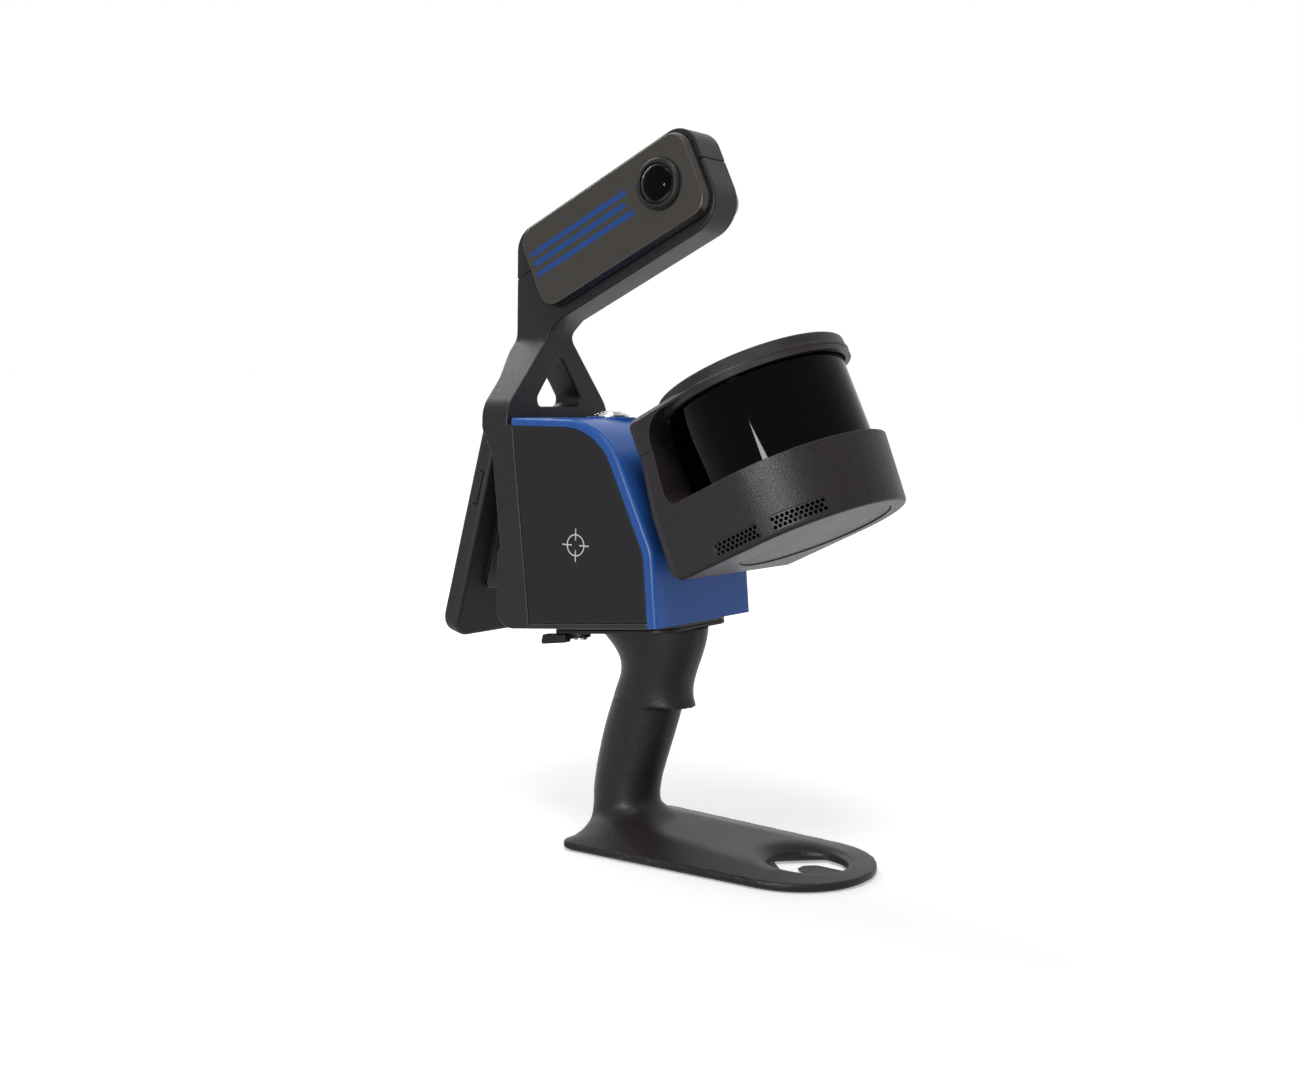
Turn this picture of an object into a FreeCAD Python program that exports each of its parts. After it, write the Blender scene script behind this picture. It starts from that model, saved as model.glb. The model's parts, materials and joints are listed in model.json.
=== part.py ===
import FreeCAD, Part
import os
from math import acos, cos, pi, radians, sin, tan

os.makedirs("parts", exist_ok=True)
V = FreeCAD.Vector

# Hand-held mobile laser scanner. Millimetres, +X forward, +Y to the operator's left, +Z up.
# The origin is on the axis of the survey-mark hole in the foot, on the floor. Sizes are set
# out from the middle of the foot's round nose, and each part is moved back as it is saved.

# ---- driving dimensions ---------------------------------------------------------------

# fits
gap = 0.3                # between curved faces of different bodies
running = 0.05           # radial clearance of shafts in bearings
wall_gap = 0.2           # between neighbouring covers

# foot plate
foot_radius = 41.2       # round nose
foot_back = 109.9        # from the middle of the nose back to the heel
hole_forward = 8.5       # from the middle of the nose to the survey hole's axis
foot_taper = 3.06        # each side spreads backwards, degrees
foot_thick = 3.8
heel_round = 6.0
crown_inset = 14.2       # the top rises from the edge to a gently sloping crown
crown_rise = 0.9
crown_slope = 3.2        # the crown climbs towards the heel, degrees
crown_taper = -5.5       # and narrows
crown_back = 8.0
sole_thick = 1.0
sole_inset = 3.0
dish_floor = 4.6         # height at which the dish's wall meets the hole
dish_low_radius = 20.1
dish_spread = 1.5        # radius gained by the dish for each mm of height
hole_radius = 19.5
plate_top = 1.8          # a thin plate with a sighting pointer closes part of the hole
corner_reach = 18.9      # the corners of the opening lie on the hole's own axes
pointer_tip = -4.4
pointer_half = 8.0
pointer_cut = 5.0

# grip: height, rear and front (behind the hole's axis), half width, squareness
heel_rings = [
    (3.0, -109.7, -50.0, 46.2, 9.0),
    (6.0, -111.3, -60.5, 38.5, 5.2),
    (9.0, -114.6, -69.5, 28.3, 3.3),
    (12.0, -117.6, -76.0, 21.0, 2.6),
    (15.0, -119.0, -80.5, 17.8, 2.3),
    (18.0, -118.6, -84.9, 15.8, 2.2),
]
grip_rings = [
    (14.0, -118.2, -84.2, 16.3, 2.2),
    (26.0, -119.5, -83.9, 16.1, 2.2),
    (38.0, -117.8, -80.9, 15.6, 2.2),
    (50.0, -115.3, -76.9, 15.5, 2.2),
    (62.0, -112.0, -73.1, 15.7, 2.2),
    (73.0, -108.2, -69.8, 15.9, 2.2),
]
palm_rings = [
    (72.0, -108.4, -61.8, 15.9, 2.2),
    (83.0, -104.6, -63.8, 16.2, 2.2),
    (94.0, -103.6, -60.6, 16.9, 2.2),
    (106.0, -113.4, -56.8, 18.5, 2.3),
    (118.0, -122.0, -56.4, 20.5, 2.4),
]
core_radius = 5.0        # aluminium post inside the grip
core_foot_x = -103.5
core_foot_z = 7.5
core_top_x = -84.0

# body: the floor rises forwards, the top is level, the front slopes back
body_half = 42.4
body_pitch = 5.6
floor_front_x = -54.3
floor_front_z = 118.0
body_top_z = 218.0
body_rear_x = -148.5
slope_angle = 25.7       # the front face and the lidar lean back by this much
shell_wall = 2.5
bead = 5.7               # blue edge showing round the side panels
top_bead = 4.0
floor_thick = 2.6
panel_thick = 2.5
top_round = 38.0         # top edge of the front
chin_round = 22.0        # where the slope meets the lower front
panel_rear_low = -134.7  # rear edge of a side panel, bottom and top
panel_rear_top = -147.1

# quick release between body and grip, measured along the pitched floor
plate_front = -3.0
plate_length = 72.0
plate_half = 30.0
plate_round = 12.0
mount_plate_thick = 1.9
clamp_plate_thick = 2.0
lever_thick = 3.4
lever_pin_radius = 2.5
lever_pin_x = -69.0
lever_pin_y = -15.5
lever_tab_x = -74.5
lever_tab_y = -28.5
lever_tab_length = 15.0
lever_tab_height = 5.2
clamp_screw_long = 7.0

# lidar head: centre of its window, and heights along its own axis
window_x = -20.6
window_z = 219.4
window_radius = 45.0
window_low = -27.0
window_high = 15.7
window_wall = 2.5
cup_low = -61.7
cup_rim_radius = window_radius + 5.8
cup_low_radius = window_radius + 3.4
cup_wall = 2.6
spine_back = window_radius + 6.0  # rear face of the head behind the window's axis
spine_depth = 11.7
rear_flare = 0.087       # the rear stands out more towards the bottom, mm per mm
rear_skim = 0.1          # taken off the rear so that it is flat between its rounded corners
hub_seat = 4.2           # round pad on the sloping rear that the hub is screwed to
spine_top = 21.0
recess_top = 18.0
spine_half = window_radius - 1.5
ring_radius = window_radius + 4.0
ring_thick = 9.0
parting = 2.6            # where the upper shroud meets the lower one
spin_height = -17.0      # the head turns about this line, square to the slope
slope_back = spine_back + 10.6    # the slope's face behind the window's axis
hub_radius = 26.0
hub_thick = 2.2
neck_radius = 15.0
shaft_radius = 9.0
shaft_slack = 0.7        # round the shaft in the head's rear wall and the collar
cable_bore = 5.0
collar_radius = 20.0
collar_thick = 3.0
bearing_radius = 15.0
bearing_wide = 6.0
motor_radius = 21.0
motor_long = 17.0
bulkhead_thick = 4.0

# yoke that carries the camera above the body
yoke_front = -151.0
yoke_rear = -168.5
neck_rear = -172.7
leg_turn_z = 223.0       # the legs lean in above this height
fork_z = 259.5
window_sill = 223.5      # triangular opening between the legs
window_half = 22.0
window_apex = 251.5
yoke_wall = 6.0
rear_low = -157.3
rear_high = -160.9

# 360 degree camera and its cradle
camera_x = -107.1
camera_z = 317.6
camera_tilt = 25.55
camera_half_long = 57.1
camera_half_high = 22.8
camera_round = 10.5
camera_half_thick = 16.2
neck_half = camera_half_thick - 6.0
face_shell = 3.9         # thickness of each face moulding
waist = 1.8              # the middle is narrower than the faces by this much all round
bevel = 3.4
liner = 1.2
band_half = neck_half     # half the depth of the cradle
band_below = camera_half_high + 5.2
band_end = camera_half_long + 2.6
band_left = camera_half_long + 5.4
strap_top = camera_half_high + 2.4
seam = 4.0
strap_screw_long = 9.0
lens_along = camera_half_long - camera_half_high + 0.6
lens_up = 2.0
lens_ring_radius = 13.0
lens_radius = 10.3
lens_ring_high = 2.6
dome_high = 5.6

# phone in its case, behind the yoke
phone_lean = 15.0
phone_x = -183.2
phone_z = 159.5
case_half_wide = 35.0
case_half_long = 62.0
case_half_thick = 5.5
case_round = 12.0
case_wall = 2.0
case_back = 1.6
glass_thick = 0.8
holder_thick = 2.2
holder_half = 20.0
hinge_x = -160.9
hinge_z = 206.0
hinge_pin_radius = 1.2
knuckle_radius = 2.8
knuckle_long = 8.0
pocket_gap = 1.4

# power button on top
button_x = -116.2
button_radius = 5.7
bezel_radius = 9.4
boss_radius = 13.0
boss_high = 1.0
button_travel = 1.2

# chassis step behind the floor, up to the flange that the yoke is screwed to
step_high = 6.2
step_long = 16.0
flange_low = 116.5


# ---- small helpers --------------------------------------------------------------------

def save(shape, name):
    shape = shape.translated(V(-hole_forward, 0, 0))
    shape.exportStep("parts/" + name + ".step")


def box(x0, x1, y0, y1, z0, z1):
    return Part.makeBox(x1 - x0, y1 - y0, z1 - z0, V(x0, y0, z0))


def rod(radius, length, base, axis):
    return Part.makeCylinder(radius, length, base, axis)


def ring(outer, inner, length, base, axis):
    return rod(outer, length, base, axis).cut(rod(inner, length, base, axis))


def corner_arc(before, corner, after, radius):
    # ends and middle of the arc that rounds a corner
    to_before = (before - corner).normalize()
    to_after = (after - corner).normalize()
    half_turn = acos(max(-1.0, min(1.0, to_before.dot(to_after)))) / 2
    inward = (to_before + to_after).normalize()
    reach = radius / tan(half_turn)
    centre = corner + inward * (radius / sin(half_turn))
    return corner + to_before * reach, centre - inward * radius, corner + to_after * reach


def outline(points, place):
    # closed wire through (a, b, rounding) points; place turns (a, b) into a vector
    corners = [place(a, b) for a, b, _ in points]
    starts = []
    for index, (_, _, radius) in enumerate(points):
        corner = corners[index]
        if radius:
            after = corners[(index + 1) % len(corners)]
            starts.append(corner_arc(corners[index - 1], corner, after, radius))
        else:
            starts.append((corner, None, corner))
    edges = []
    for index, (first, middle, last) in enumerate(starts):
        if middle:
            edges.append(Part.Arc(first, middle, last).toShape())
        following = starts[(index + 1) % len(starts)][0]
        if (following - last).Length > 1e-6:
            edges.append(Part.LineSegment(last, following).toShape())
    return Part.Wire(edges)


def on_xz(a, b):
    return V(a, 0, b)


def on_xy(a, b):
    return V(a, b, 0)


def on_yz(a, b):
    return V(0, a, b)


def slab_y(points, y0, y1):
    shape = Part.Face(outline(points, on_xz)).extrude(V(0, y1 - y0, 0))
    shape.translate(V(0, y0, 0))
    return shape


def slab_z(points, z0, z1):
    shape = Part.Face(outline(points, on_xy)).extrude(V(0, 0, z1 - z0))
    shape.translate(V(0, 0, z0))
    return shape


def slab_x(points, x0, x1):
    shape = Part.Face(outline(points, on_yz)).extrude(V(x1 - x0, 0, 0))
    shape.translate(V(x0, 0, 0))
    return shape


def oblong(half_a, half_b, radius):
    return [(-half_a, -half_b, radius), (half_a, -half_b, radius),
            (half_a, half_b, radius), (-half_a, half_b, radius)]


def mirror_y(shape):
    return shape.mirror(V(0, 0, 0), V(0, 1, 0))


def both_sides(shape):
    return [shape, mirror_y(shape)]


def leaning(x, z, angle):
    # frame whose own Z leans back (positive) or forward (negative) by the angle
    return FreeCAD.Placement(V(x, 0, z), FreeCAD.Rotation(V(0, 1, 0), -angle))


def placed(shape, placement):
    moved = shape.copy()
    moved.Placement = placement.multiply(moved.Placement)
    return moved


def screws(places, head_radius, head_high, shank_radius, shank_long, axis):
    # cap screws: the head sits at each place and the shank runs along the axis
    solids = []
    for place in places:
        head = rod(head_radius, head_high, place - axis * head_high, axis)
        socket = rod(head_radius * 0.5, head_high * 0.6, place - axis * head_high, axis)
        shank = rod(shank_radius, shank_long, place, axis)
        solids.append(head.cut(socket).fuse(shank))
    return solids


def holes(places, radius, length, back, axis):
    cutter = [rod(radius, length + back, place - axis * back, axis) for place in places]
    return Part.makeCompound(cutter)


floor_frame = leaning(floor_front_x, floor_front_z, body_pitch)
head_frame = leaning(window_x, window_z, slope_angle)
camera_frame = leaning(camera_x, camera_z, camera_tilt)
phone_frame = leaning(phone_x, phone_z, -phone_lean)
up = V(0, 0, 1)
forward = V(1, 0, 0)
across = V(0, 1, 0)


# ---- foot and grip --------------------------------------------------------------------

def foot_wire(inset, z0, spread=foot_taper, shorter=0.0, corner=heel_round):
    # tapered outline with a round nose
    radius = foot_radius - inset
    taper = radians(spread)
    touch_x = radius * sin(taper)
    touch_y = radius * cos(taper)
    back_x = -foot_back + inset + shorter
    back_y = touch_y + (touch_x - back_x) * tan(taper)
    nose = Part.Arc(V(touch_x, -touch_y, z0), V(radius, 0, z0), V(touch_x, touch_y, z0)).toShape()
    left = V(back_x, back_y, z0)
    right = V(back_x, -back_y, z0)
    rounding = max(corner - inset, 2.0)
    low = corner_arc(V(touch_x, touch_y, z0), left, right, rounding)
    high = corner_arc(left, right, V(touch_x, -touch_y, z0), rounding)
    edges = [nose,
             Part.LineSegment(V(touch_x, touch_y, z0), low[0]).toShape(),
             Part.Arc(*low).toShape(),
             Part.LineSegment(low[2], high[0]).toShape(),
             Part.Arc(*high).toShape(),
             Part.LineSegment(high[2], V(touch_x, -touch_y, z0)).toShape()]
    return Part.Wire(edges)


def foot_slab(inset, z0, z1):
    return Part.Face(foot_wire(inset, z0)).extrude(V(0, 0, z1 - z0))


def foot_crown():
    edge_z = sole_thick + foot_thick
    low = foot_wire(0.6, edge_z)
    high = foot_wire(crown_inset, 0, crown_taper, crown_back, crown_inset + 8.0)
    tilt = FreeCAD.Rotation(V(0, 1, 0), crown_slope)
    nose = foot_radius - crown_inset
    lift = edge_z + crown_rise + nose * sin(radians(crown_slope))
    high = placed(high, FreeCAD.Placement(V(0, 0, lift), tilt))
    return Part.makeLoft([low, high], True, True)


def oval(z, rear, front, half_wide, squareness):
    centre = (rear + front) / 2
    half_deep = (front - rear) / 2
    points = []
    count = 24
    for step in range(count):
        turn = 2 * pi * step / count
        along = abs(cos(turn)) ** (2 / squareness) * (1 if cos(turn) > 0 else -1)
        aside = abs(sin(turn)) ** (2 / squareness) * (1 if sin(turn) > 0 else -1)
        points.append(V(centre + half_deep * along, half_wide * aside, z))
    curve = Part.BSplineCurve()
    curve.interpolate(points, PeriodicFlag=True)
    return Part.Wire(curve.toShape())


def survey_hole():
    # dish and round hole, down to a plate whose opening has a pointer and three corners
    centre = V(hole_forward, 0, 0)
    high = 12.0
    dish = Part.makeCone(dish_low_radius, dish_low_radius + (high - dish_floor) * dish_spread,
                         high - dish_floor, centre + up * dish_floor)
    through = rod(hole_radius, high, centre + up * plate_top, up)
    reach = corner_reach
    half = [(-reach, 0, 1.2), (0, -reach, 1.2), (9.0, -16.4, 3.0), (14.4, -12.2, 3.0),
            (16.2, -pointer_half, 1.0), (pointer_tip + pointer_cut, -pointer_half, 1.0),
            (pointer_tip, pointer_cut - pointer_half, 1.0)]
    points = half + [(a, -b, r) for a, b, r in reversed(half[1:])]
    opening = slab_z(points, -2, high)
    opening.translate(centre)
    return dish.fuse([through, opening])


def grip_core_parts():
    base = V(core_foot_x, 0, core_foot_z)
    lean = V(core_top_x - core_foot_x, 0, 100.0).normalize()
    return base, lean


def make_foot_and_grip():
    plate = foot_slab(0, sole_thick, sole_thick + foot_thick)
    heel = Part.makeLoft([oval(*row) for row in heel_rings], True, False)
    lower = Part.makeLoft([oval(*row) for row in grip_rings], True, False)
    upper = Part.makeLoft([oval(*row) for row in palm_rings], True, False)
    under_clamp = mount_plate_thick + clamp_plate_thick
    above = placed(box(-120, 60, -80, 80, -under_clamp, 60), floor_frame)
    upper = upper.cut(above)
    base, lean = grip_core_parts()
    bore = rod(core_radius + running, 140, base, lean)
    body = plate.fuse([foot_crown(), heel, lower, upper]).removeSplitter()
    body = body.cut(survey_hole()).cut(bore)
    down = floor_frame.Rotation.multVec(up * -1)
    threads = [floor_frame.multVec(place) for place in clamp_screw_places()]
    body = body.cut(holes(threads, 1.0, clamp_screw_long + 0.5, 0, down))
    save(body, "grip_moulding")

    core = rod(core_radius, 140, base + lean * running, lean).cut(above)
    save(core, "grip_core")

    sole = foot_slab(sole_inset, 0, sole_thick)
    sole = sole.cut(rod(hole_radius + 4.0, 5, V(hole_forward, 0, -1), up))
    save(sole, "sole_pad")


# ---- quick release --------------------------------------------------------------------

def quick_plate(high, low):
    rear = plate_front - plate_length
    points = [(plate_front, -plate_half, plate_round), (plate_front, plate_half, plate_round),
              (rear, plate_half, 3.0), (rear, -plate_half, 3.0)]
    return slab_z(points, low, high)


def plate_screw_places(x_front, x_rear, y, z):
    return [V(x, side * y, z) for x in (x_front, x_rear) for side in (-1, 1)]


def clamp_screw_places():
    return plate_screw_places(-22, -40, 6, -mount_plate_thick - 0.9)


def make_quick_release():
    joint_z = -mount_plate_thick
    under_z = joint_z - clamp_plate_thick
    mount_places = plate_screw_places(-12, -66, 23, joint_z + 1.2)
    mount = quick_plate(0, joint_z)
    mount = mount.cut(holes(mount_places, 2.6, 1.3, 5, up)).cut(holes(mount_places, 1.3, 10, 1, up))
    save(placed(mount, floor_frame), "mount_plate")
    bolts = screws(mount_places, 2.5, 1.1, 1.25, 3.5, up)
    save(placed(Part.makeCompound(bolts), floor_frame), "mount_screws")

    clamp = quick_plate(joint_z, under_z)
    pin_place = V(lever_pin_x, lever_pin_y, under_z - lever_thick - 1.2)
    pin_long = lever_thick + 1.2 + clamp_plate_thick
    clamp = clamp.cut(rod(lever_pin_radius, pin_long, pin_place, up))
    clamp_places = clamp_screw_places()
    down = up * -1
    clamp = clamp.cut(holes(clamp_places, 2.1, 0.4, 2, down)).cut(holes(clamp_places, 1.0, 9, 1, down))
    save(placed(clamp, floor_frame), "clamp_plate")
    bolts = screws(clamp_places, 2.0, 0.8, 0.95, clamp_screw_long, down)
    save(placed(Part.makeCompound(bolts), floor_frame), "clamp_screws")

    pin = rod(lever_pin_radius, pin_long, pin_place, up)
    pin = pin.fuse(rod(lever_pin_radius + 1.2, 1.0, pin_place, up))
    save(placed(pin, floor_frame), "lever_pin")
    make_lever(under_z)


def make_lever(under_z):
    top = under_z - 0.1
    low = top - lever_thick
    eye = rod(lever_pin_radius + 3.0, lever_thick, V(lever_pin_x, lever_pin_y, low), up)
    reach = V(lever_tab_x - lever_pin_x, lever_tab_y - lever_pin_y, 0)
    aside = V(-reach.y, reach.x, 0).normalize() * 2.6
    start = V(lever_pin_x, lever_pin_y, low)
    corners = [start + aside, start + reach + aside, start + reach - aside, start - aside]
    arm = Part.Face(Part.makePolygon(corners + [corners[0]])).extrude(V(0, 0, lever_thick))
    half = lever_tab_length / 2
    tab_points = [(lever_tab_x - half - 1.5, top - lever_tab_height, 1.0),
                  (lever_tab_x + half, top - lever_tab_height + 0.8, 1.0),
                  (lever_tab_x + half, top, 0.8), (lever_tab_x - half, top, 1.5)]
    tab = slab_y(tab_points, lever_tab_y - 2.5, lever_tab_y + 2.5)
    lever = eye.fuse([arm, tab]).removeSplitter()
    bore = rod(lever_pin_radius + running, 30, V(lever_pin_x, lever_pin_y, low - 10), up)
    save(placed(lever.cut(bore), floor_frame), "release_lever")


# ---- body -----------------------------------------------------------------------------

def slope_line(inset):
    # where the sloping front, moved inwards, meets a level or a pitched line
    lean = radians(slope_angle)
    face_x = window_x - (slope_back + inset) * cos(lean)
    face_z = window_z - (slope_back + inset) * sin(lean)
    return face_x, face_z, lean


def slope_at_level(inset, z):
    face_x, face_z, lean = slope_line(inset)
    return face_x - (z - face_z) * tan(lean)


def chin(inset):
    # the lower front is square to the pitched floor
    face_x, face_z, lean = slope_line(inset)
    pitch = radians(body_pitch)
    low_x = floor_front_x - inset / cos(pitch)
    gain = tan(lean) - tan(pitch)
    z = (face_x + face_z * tan(lean) - low_x - floor_front_z * tan(pitch)) / gain
    return low_x - (z - floor_front_z) * tan(pitch), z


def floor_z(x, rise):
    # height of the pitched floor line, raised square to itself
    pitch = radians(body_pitch)
    return floor_front_z + (x - floor_front_x) * tan(pitch) + rise / cos(pitch)


def front_profile(inset, top_inset, rear_low, rear_top, rise):
    top = body_top_z - top_inset
    chin_x, chin_z = chin(inset)
    front_x = floor_front_x - inset - rise * sin(radians(body_pitch))
    return [(rear_top, top, 0),
            (slope_at_level(inset, top), top, top_round - inset),
            (chin_x, chin_z, chin_round - inset / 2),
            (front_x, floor_z(front_x, rise), 0),
            (rear_low, floor_z(rear_low, rise), 0)]


def make_shell():
    outer = slab_y(front_profile(0, 0, panel_rear_low, body_rear_x, 0), -body_half, body_half)
    sides = slab_y(front_profile(bead, top_bead, -200, -200, -10), -body_half - 1, body_half + 1)
    core_half = body_half - panel_thick
    core = slab_y(front_profile(shell_wall, shell_wall, -200, -200, -10), -core_half, core_half)
    shell = outer.cut(sides).cut(core)
    boss = rod(boss_radius, 6, V(button_x, 0, body_top_z + boss_high - 6), up)
    shell = shell.fuse(boss).removeSplitter()
    shell = shell.cut(rod(button_radius + 0.3, 20, V(button_x, 0, body_top_z - 10), up))
    axis_hole = rod(collar_radius - 4, 30, V(-slope_back - 15, 0, spin_height), forward)
    shell = shell.cut(placed(axis_hole, head_frame))
    shell = round_long_edges(shell, 2.2)
    save(shell, "blue_shell")


def round_long_edges(shell, radius):
    # the two outer rims run all round the front and carry a soft bead
    rims = []
    for edge in shell.Edges:
        box_of = edge.BoundBox
        flat = box_of.YMax - box_of.YMin < 0.01
        outermost = abs(abs(box_of.YMax) - body_half) < 0.01
        if not (flat and outermost):
            continue
        middle = edge.valueAt((edge.FirstParameter + edge.LastParameter) / 2)
        probe = front_profile(bead / 2, top_bead / 2, panel_rear_low, body_rear_x, 0)
        inner = Part.Face(outline(probe, on_xz))
        if not inner.isInside(V(middle.x, 0, middle.z), 0.05, True) and edge.Length > 8:
            rims.append(edge)
    return shell.makeFillet(radius, rims)


def make_panels():
    points = front_profile(bead + wall_gap, top_bead + wall_gap, panel_rear_low, panel_rear_top,
                           floor_thick + wall_gap)
    panel = slab_y(points, -body_half, -body_half + panel_thick)
    panel = panel.makeFillet(0.5, [edge for edge in panel.Edges
                                   if abs(edge.BoundBox.YMax + body_half) < 0.01
                                   and edge.BoundBox.YLength < 0.01])
    save(panel, "side_panel_right")
    left = mirror_y(panel)
    save(left.cut(socket_place(6.5, 8)), "side_panel_left")


def socket_place(radius, length):
    return rod(radius, length, V(-118, body_half - length + 1, 128), across)


def make_chassis():
    # floor, a bent bulkhead behind the front that carries the head, and a step up to the yoke
    rear = (panel_rear_low - floor_front_x) / cos(radians(body_pitch))
    wide_front = -bead - wall_gap
    floor = box(rear, wide_front, -body_half, body_half, 0, floor_thick)
    half = body_half - panel_thick - 1
    tongue = box(wide_front - 1, -shell_wall - wall_gap, -half, half, 0, floor_thick)
    step = box(rear - step_long, rear + 2.4, -half + 2, half - 2, step_high, step_high + 2.4)
    riser = box(rear, rear + 2.4, -half + 2, half - 2, 0, step_high + 2.4)
    base = placed(floor.fuse([tongue, step, riser]), floor_frame)
    inner = shell_wall + wall_gap
    wall = slab_y(front_profile(inner, inner, -200, -200, 0), -half, half)
    wall = wall.cut(slab_y(front_profile(inner + bulkhead_thick, inner + bulkhead_thick,
                                         -200, -200, 0), -half, half))
    wall = wall.common(placed(box(-200, 60, -half, half, -200, spin_height + 23), head_frame))
    flange_x = rear_low + yoke_wall + wall_gap
    flange = box(flange_x, flange_x + 2.5, -half + 2, half - 2, flange_low, flange_low + 30)
    chassis = base.fuse([wall, flange]).removeSplitter()
    bore = rod(bearing_radius, 60, V(-slope_back - 30, 0, spin_height), forward)
    chassis = chassis.cut(placed(bore, head_frame))
    chassis = chassis.cut(placed(holes(plate_screw_places(-12, -66, 23, 0), 1.3, 3.5, 1, up),
                                 floor_frame))
    chassis = chassis.cut(holes(yoke_screw_places(), 1.25, 12, 0, forward))
    save(chassis, "chassis")


def yoke_screw_places():
    return [V(rear_low + 2.2, side * 30, z) for side in (-1, 1) for z in (124, 138)]


def make_body_inside():
    # battery pack, processing board and motion sensor on the floor
    low = floor_thick + 0.2
    battery = box(-72, -14, -30, 30, low, low + 20)
    save(placed(battery, floor_frame), "battery_pack")
    board = box(-143.0, -141.4, -32, 32, 152, 208)
    save(board, "main_board")
    sensor = box(-141.4, -133, -12, 12, 186, 206)
    save(sensor, "motion_sensor")
    socket = socket_place(6.3, 8).cut(rod(4.2, 6, V(-118, body_half - 3, 128), across))
    save(socket, "data_socket")


# ---- yoke -----------------------------------------------------------------------------

def yoke_side():
    pitch = radians(body_pitch)
    low_front = panel_rear_low - wall_gap
    low_rear = rear_low
    return [(low_front, floor_z(low_front, 0), 0),
            (panel_rear_top - wall_gap, body_top_z - top_bead, 0),
            (yoke_front, body_top_z - top_bead, 0),
            (yoke_front, 262.0, 9.0),
            (-136.0, 276.0, 0),
            (-130.0, 300.0, 0),
            (neck_rear, 300.0, 0),
            (neck_rear, 252.0, 9.0),
            (yoke_rear, 238.0, 9.0),
            (yoke_rear, 212.0, 7.0),
            (rear_high, 197.0, 9.0),
            (rear_low + 2.0, 150.0, 1.5),
            (rear_low, 148.0, 1.5),
            (low_rear, floor_z(low_rear, 0), 10.0)]


def yoke_front_view():
    half = [(body_half, 100.0, 0), (body_half, leg_turn_z, 16.0), (neck_half, fork_z, 9.0),
            (neck_half, 310.0, 0)]
    return half + [(-y, z, r) for y, z, r in reversed(half)]


def camera_block(extra, half_thick):
    points = oblong(camera_half_long - waist + extra, camera_half_high - waist + extra,
                    camera_round - waist + extra)
    return placed(slab_y(points, -half_thick, half_thick), camera_frame)


def neck_line(rise):
    # where the upright rear of the neck lies, at a height in the camera's own frame
    lean = radians(camera_tilt)
    return (neck_rear - camera_x + rise * sin(lean)) / cos(lean)


def above_seam():
    return placed(box(-120, 120, -60, 60, seam, 120), camera_frame)


def make_yoke():
    side = slab_y(yoke_side(), -body_half, body_half)
    front = slab_x(yoke_front_view(), -200, -100)
    yoke = side.common(front)
    triangle = [(-window_half, window_sill, 4.0), (window_half, window_sill, 4.0),
                (0.0, window_apex, 4.0)]
    yoke = yoke.cut(slab_x(triangle, -200, -100))
    band = slab_y([(neck_line(30.0), 30.0, 0), (band_end, 30.0, 0), (band_end, -band_below, 18.0),
                   (-band_left, -band_below, 12.0), (neck_line(-8.0), -8.0, 10.0)],
                  -band_half, band_half)
    yoke = yoke.fuse(placed(band, camera_frame)).removeSplitter()
    yoke = yoke.cut(above_seam()).cut(camera_block(liner, 40))
    # the lower part is hollow from the front, and the phone's top lies in a pocket behind
    wall_x = rear_low + yoke_wall - 2 * wall_gap
    high_z = body_top_z - 7.0
    hollow = slab_y([(wall_x, floor_z(wall_x, step_high - wall_gap), 0),
                     (button_x, floor_z(button_x, step_high - wall_gap), 0),
                     (button_x, high_z, 0), (rear_high + yoke_wall, high_z, 2.0)],
                    -body_half + 4.0, body_half - 4.0)
    pocket_points = oblong(case_half_wide + pocket_gap, case_half_long + pocket_gap,
                           case_round + pocket_gap)
    pocket = slab_x(pocket_points, -40, case_half_thick + 3.6)
    yoke = yoke.cut(hollow).cut(placed(pocket, phone_frame))
    yoke = yoke.cut(hinge_space())
    places = yoke_screw_places()
    yoke = yoke.cut(holes(places, 1.6, 20, 1, forward)).cut(holes(places, 2.7, 0.01, 9, forward))
    down = camera_frame.Rotation.multVec(up * -1)
    yoke = yoke.cut(holes(strap_screw_places(), 0.95, strap_screw_long + 0.5, 0, down))
    save(yoke, "yoke")
    bolts = screws(places, 2.5, 1.8, 1.2, yoke_wall + 1.0, forward)
    save(Part.makeCompound(bolts), "yoke_screws")


def hinge_space():
    half = knuckle_radius + 1.4
    return box(hinge_x - 20, hinge_floor(), -22, 22, hinge_z - half, hinge_z + half)


def hinge_floor():
    return hinge_x + knuckle_radius + 1.2


def make_cradle():
    low = seam + wall_gap
    strap_points = [(neck_line(low), low, 0), (neck_line(strap_top), strap_top, 14.0),
                    (band_end, strap_top, 13.0), (band_end, low, 0)]
    strap = slab_y(strap_points, -band_half, band_half)
    strap = placed(strap, camera_frame).cut(camera_block(liner, 40))
    places = strap_screw_places()
    down = camera_frame.Rotation.multVec(up * -1)
    strap = strap.cut(holes(places, 1.7, 1.4, 18, down)).cut(holes(places, 0.95, 30, 1, down))
    save(strap, "cradle_strap")
    bolts = screws(places, 1.6, 1.2, 0.9, strap_screw_long, down)
    save(Part.makeCompound(bolts), "strap_screws")
    sleeve = camera_block(liner, band_half).cut(camera_block(0, 40))
    save(sleeve, "cradle_liner")


def strap_screw_places():
    # one screw through the strap's thick end, clear of the camera
    along = -band_left + 0.4
    local = [V(along, side * 5.0, seam + 6.0) for side in (-1, 1)]
    return [camera_frame.multVec(place) for place in local]


# ---- 360 degree camera ----------------------------------------------------------------

def face_moulding():
    outer = oblong(camera_half_long, camera_half_high, camera_round)
    face = slab_y(outer, -camera_half_thick, -camera_half_thick + face_shell)
    front_rim = [edge for edge in face.Edges
                 if abs(edge.BoundBox.YMax + camera_half_thick) < 0.01]
    face = face.makeChamfer(bevel, 1.2, front_rim)
    return face


def lens_place():
    return V(lens_along, -camera_half_thick, lens_up)


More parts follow.
